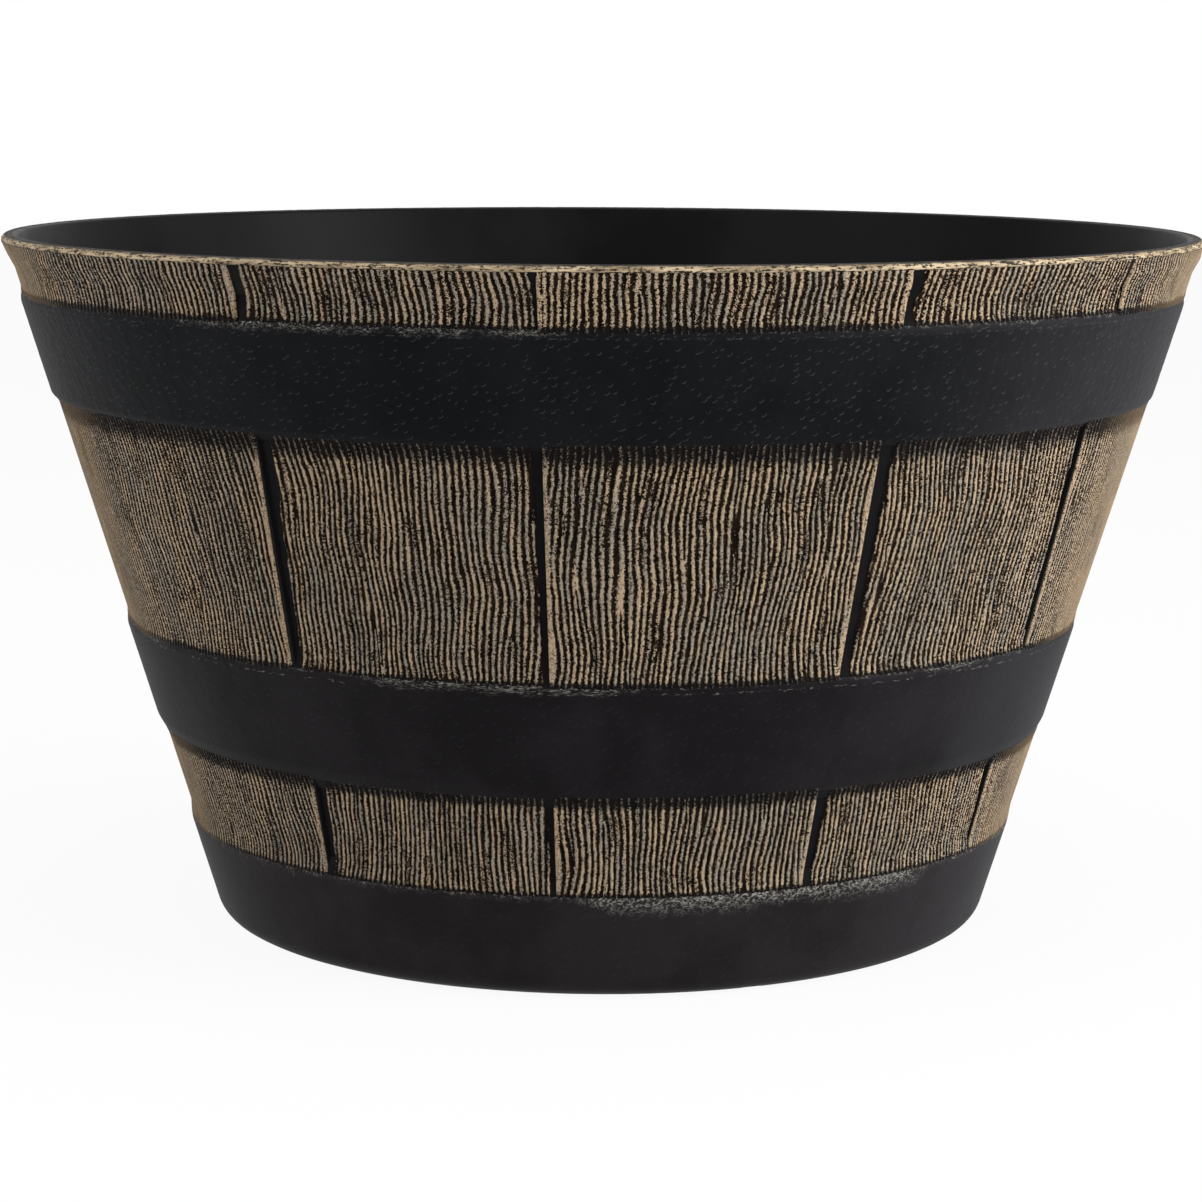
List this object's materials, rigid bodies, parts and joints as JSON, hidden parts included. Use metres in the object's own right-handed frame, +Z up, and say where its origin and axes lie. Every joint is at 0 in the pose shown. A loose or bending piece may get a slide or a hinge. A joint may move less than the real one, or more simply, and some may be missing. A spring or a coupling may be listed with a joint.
{
  "type": "barrel planter",
  "caption": "Round flared planter moulded like a half whiskey barrel, with raised and recessed staves, three hoops, a rolled rim and lift-out drain plugs.",
  "frame": {"origin": "centre of the foot, on the ground", "axes": "+Z up along the barrel's axis; -Y faces the front; +X to the viewer's right"},
  "size_m": [0.565, 0.565, 0.3265],
  "materials": {
    "barrel_resin": "satin moulded resin, black all through",
    "stave_paint": "tan paint dry-brushed over the moulded wood grain of the staves and the rim's outside",
    "plug_rubber": "matte black rubber"
  },
  "bodies": {
    "barrel": {"barrel_shell": "barrel_resin"},
    "drain_plug_center": {"drain_plug_center": "plug_rubber"},
    "drain_plug_1": {"drain_plug_1": "plug_rubber"},
    "drain_plug_2": {"drain_plug_2": "plug_rubber"},
    "drain_plug_3": {"drain_plug_3": "plug_rubber"},
    "drain_plug_4": {"drain_plug_4": "plug_rubber"}
  },
  "joints": [
    {"name": "drain_plug_center_pull", "type": "slide", "parent": "barrel", "child": "drain_plug_center", "axis": [0, 0, 1], "range_m": [0, 0.06]},
    {"name": "drain_plug_1_pull", "type": "slide", "parent": "barrel", "child": "drain_plug_1", "axis": [0, 0, 1], "range_m": [0, 0.06]},
    {"name": "drain_plug_2_pull", "type": "slide", "parent": "barrel", "child": "drain_plug_2", "axis": [0, 0, 1], "range_m": [0, 0.06]},
    {"name": "drain_plug_3_pull", "type": "slide", "parent": "barrel", "child": "drain_plug_3", "axis": [0, 0, 1], "range_m": [0, 0.06]},
    {"name": "drain_plug_4_pull", "type": "slide", "parent": "barrel", "child": "drain_plug_4", "axis": [0, 0, 1], "range_m": [0, 0.06]}
  ]
}
